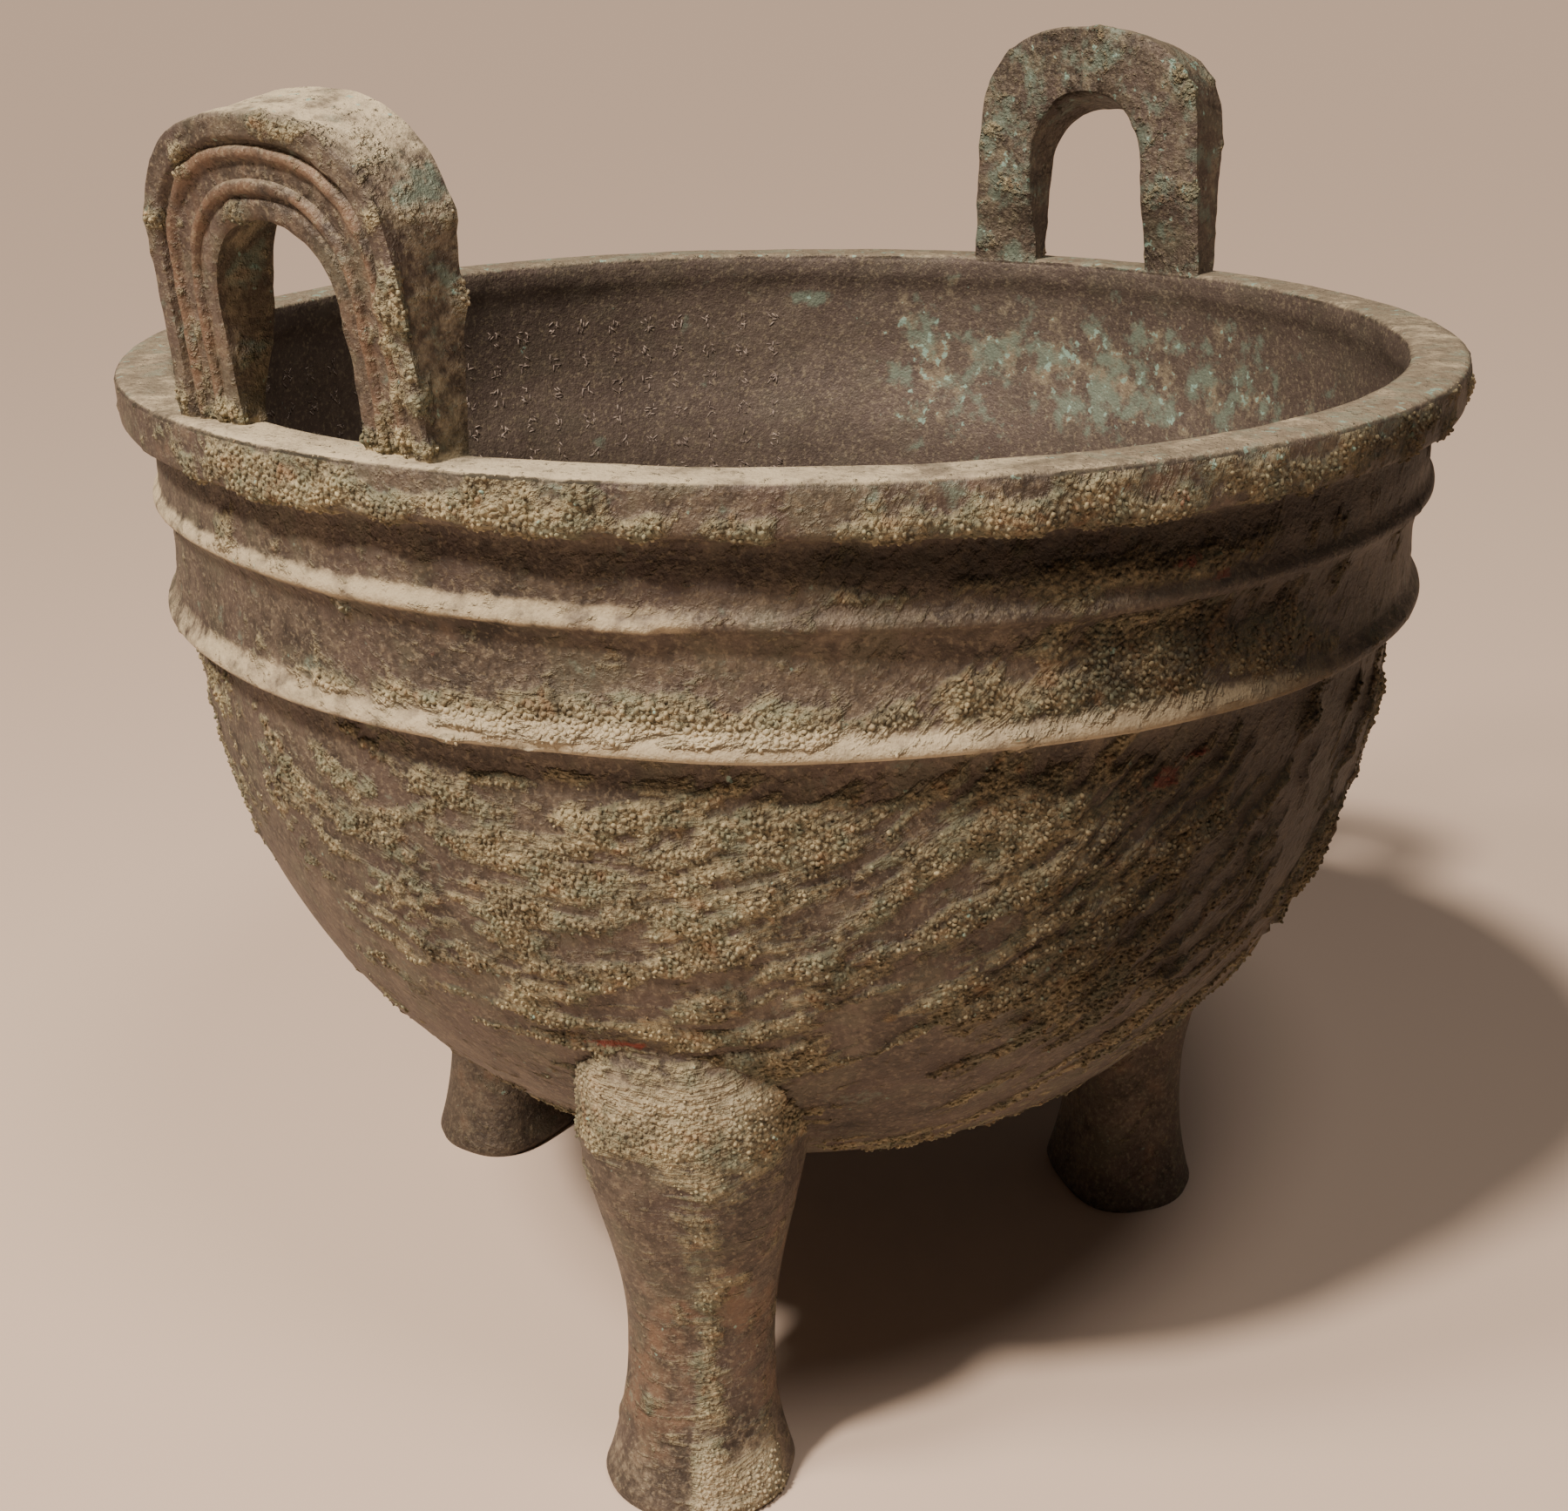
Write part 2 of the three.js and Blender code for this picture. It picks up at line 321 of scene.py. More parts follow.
def makeLeg(name):
    (kneeAzimuth, kneeRadius), (footAzimuth, footRadius) = legs[name]
    top = leg["kneeHeight"] + leg["capHeight"]
    heights = np.concatenate([
        np.linspace(0, leg["soleBevelHeight"], 4), np.linspace(4, leg["kneeHeight"], 54),
        top - leg["capHeight"] * (1 - np.sin(np.linspace(0.12, 1.5, 14)))])[:, None]
    angles = np.linspace(0, 2 * np.pi, leg["sides"], endpoint=False)[None, :]
    across, out = np.cos(angles), np.sin(angles)
    flare = np.clip(1 - heights / leg["footHeight"], 0, 1) ** 2
    swell = softStep(heights, leg["kneeStart"], leg["kneeFull"])
    bevel = leg["soleBevel"] * np.clip(1 - heights / leg["soleBevelHeight"], 0, 1)
    over = np.clip((heights - leg["kneeHeight"]) / leg["capHeight"], 0, 1)
    cap = (1 - over ** leg["capRoundness"]) ** (1 / leg["capRoundness"])
    reach = [(w + f * flare + k * swell - bevel) * cap for w, f, k in zip(leg["waist"], leg["foot"], leg["knee"])]
    power = np.where(out < 0, 2 / leg["innerSquareness"], 2 / (2 + (leg["squareness"] - 2) * swell))
    sideways = np.sign(across) * np.abs(across) ** power * reach[0]
    outwards = np.sign(out) * np.abs(out) ** power * np.where(out < 0, reach[2], reach[1])
    rise = heights / leg["kneeHeight"]
    turn = np.radians(footAzimuth + (kneeAzimuth - footAzimuth) * rise)
    distance = footRadius + (kneeRadius - footRadius) * rise + outwards
    rings = np.stack([distance * np.sin(turn) + sideways * np.cos(turn),
                      sideways * np.sin(turn) - distance * np.cos(turn),
                      heights + 0 * sideways], axis=-1)
    return wrappedMesh(name, rings, first=rings[0].mean(0), last=rings[-1].mean(0))


handles = {"handleLeft": (-90, 0.98), "handleRight": (91.5, 1.02)}  # azimuth, tallness
handle = {
    "outerDistance": 157.3, "outerLean": 0.123, "baseThickness": 12, "innerLean": -0.016,
    "baseWidth": 78, "shoulderWidth": 73.5, "outerHeight": 64.2, "innerHeight": 67.6,
    "springShare": 0.55, "archPower": 2.4,
    "openingWidth": 37.8, "openingOuterHeight": 43.8, "openingInnerHeight": 49.2, "openingPower": 2.2,
    "rootDepth": 6, "rootCover": 0.5, "postRows": 20, "archRows": 26,
    # centre of each raised cord, as a share of the band from its outer edge, with its half width and depth
    "cords": (0.37, 0.69), "cordHalf": 0.062, "fieldStart": 0.25, "fieldEnd": 0.82, "fieldDepth": 1.5,
}


def archCurve(baseWidth, shoulderWidth, height, power):
    # the arch in its own plane, from one root over the top to the other
    spring = height * handle["springShare"]
    rise = np.linspace(0, 1, handle["postRows"], endpoint=False)
    half = (baseWidth + (shoulderWidth - baseWidth) * rise) / 2
    post = np.stack([half, -handle["rootDepth"] + (spring + handle["rootDepth"]) * rise], axis=-1)
    angle = np.linspace(0, np.pi / 2, handle["archRows"])
    arch = np.stack([shoulderWidth / 2 * np.clip(np.cos(angle), 0, 1) ** (2 / power),
                     spring + (height - spring) * np.sin(angle) ** (2 / power)], axis=-1)
    right = np.vstack([post, arch])
    return np.vstack([right[:-1] * (-1, 1), right[::-1]])


def cordDepth(share):
    # how far below the outer face the moulding lies, across the band
    field = handle["fieldDepth"] * softStep(share, handle["fieldStart"] - 0.04, handle["fieldStart"] + 0.02)
    field = field * (1 - 0.45 * softStep(share, handle["fieldEnd"] - 0.03, handle["fieldEnd"] + 0.03))
    for centre in handle["cords"]:
        raised = np.clip(1 - ((share - centre) / handle["cordHalf"]) ** 2, 0, 1) ** 0.5
        field = field - raised * (handle["fieldDepth"] - 0.15)
    return field


def makeHandle(name):
    h = handle
    azimuth, tallness = handles[name]
    edgeOut = archCurve(h["baseWidth"], h["shoulderWidth"], h["outerHeight"], h["archPower"])
    edgeIn = archCurve(h["baseWidth"], h["shoulderWidth"], h["innerHeight"], h["archPower"])
    holeOut = archCurve(h["openingWidth"], h["openingWidth"], h["openingOuterHeight"], h["openingPower"])
    holeIn = archCurve(h["openingWidth"], h["openingWidth"], h["openingInnerHeight"], h["openingPower"])
    columns = []

    def outerFace(share, drop):
        flat = edgeOut + (holeOut - edgeOut) * share
        columns.append((flat, h["outerDistance"] + h["outerLean"] * flat[:, 1] - drop))

    def innerFace(share, inset):
        flat = edgeIn + (holeIn - edgeIn) * share
        face = h["outerDistance"] - h["baseThickness"] + h["innerLean"] * flat[:, 1]
        mouth = np.sqrt((bowl["mouthRadius"] + h["rootCover"]) ** 2 - flat[:, 0] ** 2)
        columns.append((flat, mouth + (face - mouth) * softStep(flat[:, 1], 0, 25) + inset))

    for share in np.concatenate([[0.0, 0.035], np.linspace(0.08, 0.92, 37), [0.965, 1.0]]):
        edge = 0.6 if share in (0.0, 1.0) else 0.0
        outerFace(share, float(cordDepth(share)) + edge)
    innerShares = (1.0, 0.965, 0.75, 0.5, 0.25, 0.035, 0.0)
    for share in innerShares:
        innerFace(share, 0.6 if share in (0.0, 1.0) else 0.0)
    outerCount = len(columns) - len(innerShares)

    def between(first, second, count):
        made = []
        for step in range(1, count):
            part = step / count
            made.append((first[0] + (second[0] - first[0]) * part, first[1] + (second[1] - first[1]) * part))
        return made

    section = (columns[:outerCount] + between(columns[outerCount - 1], columns[outerCount], 7)
               + columns[outerCount:] + between(columns[-1], columns[0], 7))
    turn = math.radians(azimuth)
    rings = np.stack([
        np.stack([out * math.sin(turn) + flat[:, 0] * math.cos(turn),
                  flat[:, 0] * math.sin(turn) - out * math.cos(turn),
                  bowl["rimHeight"] + flat[:, 1] * tallness], axis=-1)
        for flat, out in section], axis=1)
    return wrappedMesh(name, rings, first=rings[0].mean(0), last=rings[-1].mean(0))


vessel = makeBowl()
for legName in legs:
    limb = makeLeg(legName)
    combine(limb, makeCavity(), "DIFFERENCE")
    combine(vessel, limb, "UNION")
for handleName in handles:
    combine(vessel, makeHandle(handleName), "UNION")
print("vessel shape:", len(vessel.data.polygons), "faces")


# what lies where on the surface: crust, colour and relief

crustPatches = {
    # azimuth, height, half width in degrees, half height, amount
    "belly": [
        (-84, 172, 20, 26, 0.34), (-60, 160, 20, 30, 0.36), (-48, 188, 12, 12, 0.3), (-64, 133, 16, 9, 0.25),
        (-23, 160, 13, 46, 0.6), (-36, 178, 8, 22, 0.3), (-41, 126, 5, 22, -0.9), (-45, 98, 12, 18, -0.6),
        (-2, 150, 9, 60, -0.15), (-104, 140, 14, 30, -0.3), (-92, 116, 14, 22, -0.3),
        (40, 165, 22, 30, 0.3), (95, 150, 26, 32, 0.3), (150, 178, 26, 24, 0.35), (-150, 160, 24, 30, 0.35),
        (180, 120, 16, 20, -0.4),
    ],
    "valley": [
        (-60, 214, 17, 4.6, 1.0), (-84, 212.5, 12, 2.6, 0.6), (-40, 217, 7, 6, 0.6), (-21, 223, 11, 14, 0.95),
        (-6, 218, 8, 9, 0.5), (-50, 225, 6, 2.4, 0.35), (60, 216, 24, 5, 0.5), (140, 221, 30, 9, 0.55),
        (-150, 217, 22, 6, 0.5),
    ],
    "neck": [
        (-28, 240.5, 15, 3.4, 0.75), (-48, 239.5, 7, 1.6, 0.3), (-8, 241, 8, 4, 0.3), (-95, 240, 12, 3, 0.2),
        (80, 242, 25, 4, 0.4), (170, 244, 25, 5, 0.4),
    ],
    "rimFace": [
        (-89, 257, 11, 6, 0.9), (-72, 256, 9, 4.5, 0.55), (-58, 254.5, 7, 2.6, 0.5), (-38, 255, 12, 3.4, 0.8),
        (-16, 257, 9, 5.5, 0.55), (3, 258, 14, 7, 0.65), (60, 257, 20, 4, 0.4), (130, 256, 25, 4, 0.45),
        (-150, 257, 20, 5, 0.5),
    ],
}
# dark crust together with painted shade: the rim's shadow on the neck near 246 mm and the darker right side are painted
# shade; azimuth, height, half width in degrees, half height, amount
darkCrustAndShadePatches = [(-19, 165, 17, 50, 0.9), (6, 190, 19, 80, 1.0), (-14, 226, 14, 16, 0.7), (-22, 246, 38, 6, 1.0),
               (2, 258, 16, 9, 0.5), (-40, 246, 14, 5, 0.4),
               (-42, 112, 14, 30, 0.28), (-40, 235, 12, 3, 0.3)]
redSpots = [(-21, 193, 2.0, 2.4, 1.1), (-17.4, 197, 1.6, 1.6, 1.0), (-68, 131, 4.0, 1.4, 1.1), (-22, 241, 1.6, 1.8, 0.9),
            (-18.6, 237, 1.4, 1.4, 0.9), (-25, 256, 1.0, 2.0, 0.8), (-79, 223, 1.0, 1.5, 0.7), (140, 188, 2, 2, 0.9)]
greenPatches = [(-44, 261, 12, 3.5, 0.4), (-22, 261, 10, 3, 0.5), (-6, 260, 8, 4, 0.5), (-66, 259, 8, 4, 0.25),
                (-80, 258, 5, 4, 0.25), (-32, 160, 10, 30, 0.2), (150, 258, 30, 4, 0.4), (60, 200, 30, 30, 0.25)]
insidePatches = [(92, 232, 18, 22, 0.75), (112, 226, 7, 30, 0.6), (66, 232, 14, 20, 0.55), (128, 250, 7, 2.6, 0.6),
                 (-20, 220, 30, 30, 0.4)]
paleRim = [(-82, 264, 38, 6, 0.75), (-45, 264, 20, 6, 0.3), (40, 264, 30, 6, 0.25)]
streaks = {"centreAzimuth": -72, "centreHeight": 300, "across": 3.6, "along": 7.0, "fine": 1.9}
relief = {"belly": 1.1, "darkCrustAndShade": 0.9, "valley": 1.0, "neck": 0.8, "rimFace": 0.8, "leg": 0.7, "handle": 0.5,
          "inside": 0.2, "handWork": 0.22}


def cloud(points, size, seed=0, octaves=3):
    # soft random field between about -1 and 1, with lumps of the given size
    shift = Vector((seed * 7.31, seed * 3.17, seed * 5.93))
    return np.array([noise.fractal(Vector(p) / size + shift, 1.0, 2.0, octaves) for p in points]) * 1.5


def patchSum(azimuth, height, patches):
    total = np.zeros_like(height)
    for patchAzimuth, patchHeight, width, tall, amount in patches:
        aside = (azimuth - patchAzimuth + 180) % 360 - 180
        total += amount * np.exp(-(aside / width) ** 2 - ((height - patchHeight) / tall) ** 2)
    return total


def streakPlace(points):
    # crust lies in curved lines round a point high on the front left, so noise is read in polar coordinates there
    centre = aroundAxis(streaks["centreAzimuth"], bowl["bellyRadius"], streaks["centreHeight"])
    turn = math.radians(streaks["centreAzimuth"])
    aside = points @ np.array([math.cos(turn), math.sin(turn), 0])
    away = points - centre
    distance = np.linalg.norm(away, axis=1)
    angle = np.arctan2(aside, -away[:, 2])
    wave = cloud(points, 26, seed=4, octaves=2) * 2.6
    return np.stack([(distance + wave) / streaks["across"],
                     streaks["along"] * np.cos(angle), streaks["along"] * np.sin(angle)], axis=1)


def legPlace(points, name):
    # across, outwards and height, from the leg's own middle line
    (kneeAzimuth, kneeRadius), (footAzimuth, footRadius) = legs[name]
    rise = points[:, 2] / leg["kneeHeight"]
    turn = np.radians(footAzimuth + (kneeAzimuth - footAzimuth) * rise)
    across = points[:, 0] * np.cos(turn) + points[:, 1] * np.sin(turn)
    out = points[:, 0] * np.sin(turn) - points[:, 1] * np.cos(turn) - (footRadius + (kneeRadius - footRadius) * rise)
    return across, out


def handlePlace(points, name):
    azimuth, tallness = handles[name]
    turn = math.radians(azimuth)
    across = points[:, 0] * math.cos(turn) + points[:, 1] * math.sin(turn)
    out = points[:, 0] * math.sin(turn) - points[:, 1] * math.cos(turn)
    return across, out, (points[:, 2] - bowl["rimHeight"]) / tallness


def nearest(points, curve):
    return np.min(np.linalg.norm(points[:, None, :] - curve[None, :, :], axis=2), axis=1)


def surfaceMap(points, normals):
    # for each point: how much crust, darkening (dark crust and painted shade), green and so on, and the relief in
    # millimetres
    azimuth = np.degrees(np.arctan2(points[:, 0], -points[:, 1]))
    radius = np.hypot(points[:, 0], points[:, 1])
    height = points[:, 2]
    wallRadius = np.where(height < bowl["bellyTop"], bellyRadius(height), 156)
    inside = (radius < wallRadius - 2.2) & (height > bowl["bellyBottom"]) & (height < bowl["rimHeight"] - 1.5)
    rimTop = (height > bowl["rimHeight"] - 1.2) & (height < bowl["rimHeight"] + 0.4)
    onHandle = height > bowl["rimHeight"] + 0.4
    onLeg = (height < 137) & (radius > wallRadius + 0.4) | (height < bowl["bellyBottom"] - 0.5)
    outside = ~(inside | rimTop | onHandle | onLeg)
    broad, lumps, fine = cloud(points, 48, 1), cloud(points, 13, 5), cloud(points, 5.5, 9, 2)
    count = len(points)
    crust, thickness = np.zeros(count), np.zeros(count)
    belly = outside & (height < lowerString["height"])
    flow = streakPlace(points)
    streak = cloud(flow, 1.0, seed=2, octaves=3)
    bands = (("belly", belly, 0.16 + 0.85 * streak + 0.15 * lumps),
             ("valley", outside & (height >= lowerString["height"]) & (height < 232), 0.05 + 0.3 * lumps + 0.3 * fine),
             ("neck", outside & (height >= 232) & (height < 252), 0.03 + 0.3 * lumps + 0.2 * fine),
             ("rimFace", outside & (height >= 252), 0.10 + 0.35 * lumps + 0.35 * fine))
    for name, where, extra in bands:
        amount = patchSum(azimuth, height, crustPatches[name]) + extra + 0.16 * broad
        if name == "belly":
            amount = amount - 0.6 * softStep(height, 196, 204)
        crust = np.where(where, softStep(amount, 0.15, 0.8), crust)
        thickness = np.where(where, relief[name], thickness)
    # dark crust and painted shade: the rim's shadow on the neck and the darker right side
    darkCrustAndShade = np.where(outside | onLeg, np.clip(patchSum(azimuth, height, darkCrustAndShadePatches) + 0.12 * lumps, 0, 1), 0.0)
    thickness = thickness + np.where(belly, darkCrustAndShade * relief["darkCrustAndShade"], 0)
    green = np.clip(patchSum(azimuth, height, greenPatches) * outside + 0.14 * lumps + 0.08, 0, 1)
    green = np.where(inside, np.clip(patchSum(azimuth, height, insidePatches) + 0.12 * lumps - 0.05, 0, 1), green)
    red = np.clip(patchSum(azimuth, height, redSpots) * (outside | onLeg) + 0.15 * fine, 0, 1)
    pale = np.where(rimTop, 0.12 + patchSum(azimuth, height, paleRim) + 0.3 * lumps, 0.0)
    green = np.where(rimTop, np.clip(0.75 - pale, 0, 0.6), green)
    for line, front in ((upperString, 1 - 0.97 * softStep(azimuth, -62, -54)),
                        (lowerString, 1 - 0.6 * softStep(np.abs(azimuth + 62), 44, 66))):
        onCrest = np.clip(2.0 - 1.25 * np.abs(height - line["height"] - 0.2) / line["half"], 0, 1) * outside
        pale = pale + onCrest * front * (0.85 + 0.3 * fine)
    pale = pale + np.where(outside, 0.4 * patchSum(azimuth, height, [(-62, 215, 18, 5, 1.0), (-84, 257, 14, 5, 0.6)]), 0)
    copper = np.where(outside & (height > lowerString["height"]), np.clip(0.10 + 0.3 * broad, 0, 1), 0.0)
    for name in legs:
        across, out = legPlace(points, name)
        here = onLeg & (np.hypot(across, out) < 45)
        near = name == "legLeft"
        amount = 0.15 + 0.9 * np.exp(-((height - 113) / 12) ** 2) * softStep(out, -8, 6) + 0.25 * lumps + 0.25 * fine
        if near:
            line = np.exp(-((across - 6.5 - 2.0 * lumps) / 3.0) ** 2) * softStep(out, 2, 8) * (height < 100)
            heel = np.exp(-((height - 8) / 14) ** 2) * softStep(across, 2, 7) * softStep(out, -2, 6)
            amount = amount + 0.5 * line + 0.7 * heel
            pale = pale + np.where(here, 0.35 * heel + 0.2 * line, 0)
            # pale crust and painted light on the front leg's knee top
            pale = pale + np.where(here, 0.62 * np.exp(-((height - 118) / 10) ** 2) * softStep(out, -4, 6), 0)
            pale = pale + np.where(here, 0.32 * np.exp(-((height - 8) / 20) ** 2), 0)
        else:
            amount = amount - 0.4
        crust = np.where(here, softStep(amount - 0.5 * (height < 0.6), 0.2, 0.85), crust)
        thickness = np.where(here, relief["leg"] * (0.35 if name == "legBack" else 1) * softStep(height, 0.5, 5), thickness)
        shank = np.exp(-((height - 40) / 40) ** 2)
        copper = np.where(here, np.clip((0.55 if near else 0.3) * shank + 0.3 * lumps, 0, 1), copper)
        # the darkening map on the legs: only the back leg is made darker, all over
        darkCrustAndShade = np.where(here, {"legLeft": 0.0, "legRight": 0.0, "legBack": 0.45}[name], darkCrustAndShade)
    for name in handles:
        across, out, up = handlePlace(points, name)
        here = onHandle & (np.abs(out - 155) < 30)
        chosen = np.nonzero(here)[0]
        flat = np.stack([across[chosen], up[chosen]], axis=1)
        outline = archCurve(handle["baseWidth"], handle["shoulderWidth"], handle["outerHeight"], handle["archPower"])
        opening = archCurve(handle["openingWidth"], handle["openingWidth"], handle["openingOuterHeight"], handle["openingPower"])
        toEdge, toHole = nearest(flat, outline), nearest(flat, opening)
        share = toEdge / (toEdge + toHole)
        face = np.abs(out[chosen] - handle["outerDistance"] - handle["outerLean"] * up[chosen] + 0.8) < 1.6
        cords = sum(np.exp(-((share - centre) / 0.07) ** 2) for centre in handle["cords"])
        copper[chosen] = np.where(face, np.clip(0.05 + 0.35 * softStep(share, 0.22, 0.34) + 0.45 * cords + 0.15 * lumps[chosen], 0, 1), 0.05 + 0.2 * lumps[chosen])
        near = name == "handleLeft"
        foot = np.exp(-(up[chosen] / 9) ** 2)
        rightEdge = np.exp(-((up[chosen] - 26) / 16) ** 2) * softStep(across[chosen], 27, 33) * face if near else 0
        amount = 0.12 + 0.6 * foot * face + 0.55 * rightEdge + 0.34 * lumps[chosen] + 0.3 * fine[chosen]
        crust[chosen] = softStep(amount, 0.25, 0.9)
        thickness[chosen] = relief["handle"] * (1 + 2.0 * rightEdge)
        green[chosen] = np.clip(np.where(face, 0.05, 0.42 if near else 0.5) + 0.2 * lumps[chosen], 0, 1)
        # pale deposit and painted light on the handles' upward faces, stronger on the near handle
        tops = (0.42 * near * ~face + softStep(normals[chosen, 2], 0.45, 0.95) * (0.5 if near else 0.15)) * (0.8 + 0.5 * fine[chosen])
        pale[chosen] = tops + face * 0.35 * cords * (0.6 + 0.6 * fine[chosen])
        darkCrustAndShade[chosen] = 0.0 if near else 0.12
        red[chosen] = np.clip(0.35 * fine[chosen] - 0.1, 0, 1)
    crust = np.where(inside | rimTop, 0.0, crust)
    lift = crust * thickness * (0.55 + 0.6 * fine + 0.3 * lumps) + relief["handWork"] * broad * (height > 3)
    lift = lift + np.where(onHandle | rimTop | inside, relief["inside"] * (lumps + fine), 0) * (~rimTop * 0.7 + 0.3)
    flow = np.where((outside | onLeg)[:, None], flow, points / 3.2)
    return {"crust": crust, "darkCrustAndShade": darkCrustAndShade, "green": green, "red": red, "copper": copper,
            "pale": np.clip(pale, 0, 1), "inside": inside.astype(float)}, flow * streaks["fine"], lift


def softenRoots(thing, passes=4):
    # rounds the inner corner where each leg grows out of the bowl
    sheet = bmesh.new()
    sheet.from_mesh(thing.data)
    corner = set()
    for edge in sheet.edges:
        if edge.is_manifold and not edge.is_convex and edge.calc_face_angle() > 0.35:
            height = edge.verts[0].co.z / mm
            radius = edge.verts[0].co.xy.length / mm
            if height < 136 and radius > bellyRadius(height) - 1.0:
                corner.update(edge.verts)
    for _ in range(2):
        corner.update([e.other_vert(v) for v in list(corner) for e in v.link_edges])
    for _ in range(passes):
        bmesh.ops.smooth_vert(sheet, verts=list(corner), factor=0.5, use_axis_x=True, use_axis_y=True, use_axis_z=True)
    sheet.to_mesh(thing.data)
    sheet.free()


def dressSurface(thing):
    mesh = thing.data
    count = len(mesh.vertices)
    points, normals = np.empty(count * 3), np.empty(count * 3)
    mesh.vertices.foreach_get("co", points)
    mesh.vertices.foreach_get("normal", normals)
    points, normals = points.reshape(-1, 3), normals.reshape(-1, 3)
    values, flow, lift = surfaceMap(points / mm, normals)
    moved = points + normals * (lift * mm)[:, None]
    moved[:, 2] = np.where(points[:, 2] < 0.4 * mm, points[:, 2], np.maximum(moved[:, 2], 0.1 * mm))
    mesh.vertices.foreach_set("co", moved.ravel())
    for name, value in values.items():
        layer = mesh.attributes.new(name, "FLOAT", "POINT")
        layer.data.foreach_set("value", value.astype(np.float32))
    layer = mesh.attributes.new("flow", "FLOAT_VECTOR", "POINT")
    layer.data.foreach_set("vector", flow.astype(np.float32).ravel())
    mesh.update()
    sheet = bmesh.new()
    sheet.from_mesh(mesh)
    for edge in sheet.edges:
        edge.smooth = not (edge.is_manifold and edge.calc_face_angle() > 0.75)
    for face in sheet.faces:
        face.smooth = True
    sheet.to_mesh(mesh)
    sheet.free()


softenRoots(vessel)
dressSurface(vessel)
print("relief and surface map")


# materials

def addNode(tree, kind, settings=None, **inputs):
    made = tree.nodes.new(kind)
    for name, value in (settings or {}).items():
        setattr(made, name, value)
    for name, value in inputs.items():
        socket = made.inputs[int(name[1:])] if name[0] == "_" else made.inputs[name.replace("_", " ")]
        if isinstance(value, bpy.types.NodeSocket):
            tree.links.new(value, socket)
        else:
            socket.default_value = value
    return made


def place(tree):
    return addNode(tree, "ShaderNodeTexCoord").outputs["Object"]


def grain(tree, where, scale, detail=3.0, rough=0.55):
    return addNode(tree, "ShaderNodeTexNoise", Vector=where, Scale=scale, Detail=detail, Roughness=rough).outputs["Fac"]


def pebbles(tree, where, scale, output="Distance"):
    return addNode(tree, "ShaderNodeTexVoronoi", Vector=where, Scale=scale).outputs[output]


def calc(tree, operation, first, second=0.0, clamp=False):
    return addNode(tree, "ShaderNodeMath", {"operation": operation, "use_clamp": clamp}, _0=first, _1=second).outputs[0]


def between(tree, value, low, high, start=0.0, end=1.0):
    return addNode(tree, "ShaderNodeMapRange", {"interpolation_type": "SMOOTHSTEP"}, Value=value,
                   From_Min=low, From_Max=high, To_Min=start, To_Max=end).outputs["Result"]


def painted(tree, name):
    return addNode(tree, "ShaderNodeAttribute", {"attribute_name": name}).outputs["Fac"]


def blendColour(tree, share, first, second, kind="MIX"):
    made = addNode(tree, "ShaderNodeMix", {"data_type": "RGBA", "blend_type": kind})
    for socket, value in ((made.inputs[0], share), (made.inputs[6], first), (made.inputs[7], second)):
        if isinstance(value, bpy.types.NodeSocket):
            tree.links.new(value, socket)
        else:
            socket.default_value = value
    return made.outputs[2]


def ramp(tree, value, stops):
    made = addNode(tree, "ShaderNodeValToRGB", Fac=value)
    while len(made.color_ramp.elements) < len(stops):
        made.color_ramp.elements.new(0.5)
    for element, (position, colour) in zip(made.color_ramp.elements, stops):
        element.position, element.color = position, (*colour, 1)
    return made.outputs["Color"]


def startMaterial(name):
    made = bpy.data.materials.new(name)
    made.use_nodes = True
    return made, made.node_tree, made.node_tree.nodes["Principled BSDF"]


colours = {
    "bronze": [(0.38, (0.031, 0.023, 0.018)), (0.47, (0.076, 0.058, 0.045)), (0.53, (0.118, 0.092, 0.070)),
               (0.62, (0.180, 0.145, 0.108))],
    "purple": (0.092, 0.064, 0.055, 1), "olive": (0.110, 0.101, 0.070, 1), "speck": (0.27, 0.225, 0.155, 1),
    "inside": (0.098, 0.073, 0.064, 1), "pit": (0.026, 0.019, 0.014, 1), "shadow": (0.24, 0.21, 0.17, 1),
    "crust": [(0.36, (0.070, 0.060, 0.038)), (0.47, (0.200, 0.172, 0.108)), (0.60, (0.42, 0.36, 0.225))],
    "rust": (0.29, 0.17, 0.09, 1), "mossy": (0.19, 0.215, 0.15, 1), "copper": (0.185, 0.112, 0.070, 1),
    "pale": (0.50, 0.425, 0.29, 1), "green": (0.155, 0.200, 0.160, 1), "malachite": (0.27, 0.43, 0.37, 1),
    "cuprite": (0.24, 0.045, 0.028, 1), "stroke": (0.27, 0.22, 0.19, 1), "dustAndTopLight": (0.37, 0.31, 0.225, 1),
}


def scaled(tree, value, factor, centre=0.5):
    return calc(tree, "MULTIPLY", calc(tree, "SUBTRACT", value, centre), factor)


def crustColour(tree, where):
    tone = calc(tree, "ADD", calc(tree, "MULTIPLY", grain(tree, where, 700, 3), 0.6),
                calc(tree, "MULTIPLY", grain(tree, where, 60, 2), 0.4))
    colour = ramp(tree, tone, colours["crust"])
    colour = blendColour(tree, between(tree, grain(tree, where, 210, 2), 0.56, 0.70, 0, 0.5), colour, colours["rust"])
    return blendColour(tree, between(tree, grain(tree, where, 140, 3), 0.48, 0.66, 0, 0.55), colour, colours["mossy"])


def shaded(tree, colour):
    # painted shade and dark crust: darker where the map says, for the rim's shadow on the neck, the darker right side
    # and the dark olive crust
    return blendColour(tree, painted(tree, "darkCrustAndShade"), colour, blendColour(tree, 1.0, colour, colours["shadow"], "MULTIPLY"))


